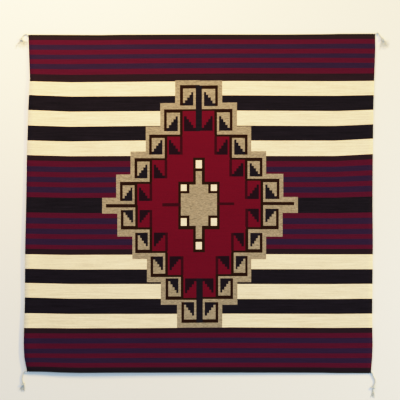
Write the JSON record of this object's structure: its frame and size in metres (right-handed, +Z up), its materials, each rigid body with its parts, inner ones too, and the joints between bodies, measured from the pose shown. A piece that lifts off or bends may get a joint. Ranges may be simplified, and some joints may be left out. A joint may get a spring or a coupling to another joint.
{
  "type": "navajo rug",
  "caption": "Flat hand-woven wool rug with a banded ground, a stepped diamond medallion, twined end cords and knotted corner tassels.",
  "frame": {"origin": "on the floor, under the middle of the outline over the tassels", "axes": "+Z up from the floor, +Y towards the head of the pattern, +X to the right of the pattern as seen from above"},
  "size_m": [1.3208, 1.299, 0.0104],
  "materials": {
    "woven_wool": "matt wool, weft-faced",
    "dark_cord": "matt twisted wool cord",
    "pale_yarn": "matt undyed wool yarn"
  },
  "bodies": {
    "root": {"rug": "woven_wool", "end_cord_top": "dark_cord", "end_cord_bottom": "dark_cord", "tassel_top_left": "pale_yarn", "tassel_top_right": "pale_yarn", "tassel_bottom_left": "pale_yarn", "tassel_bottom_right": "pale_yarn"}
  },
  "joints": []
}
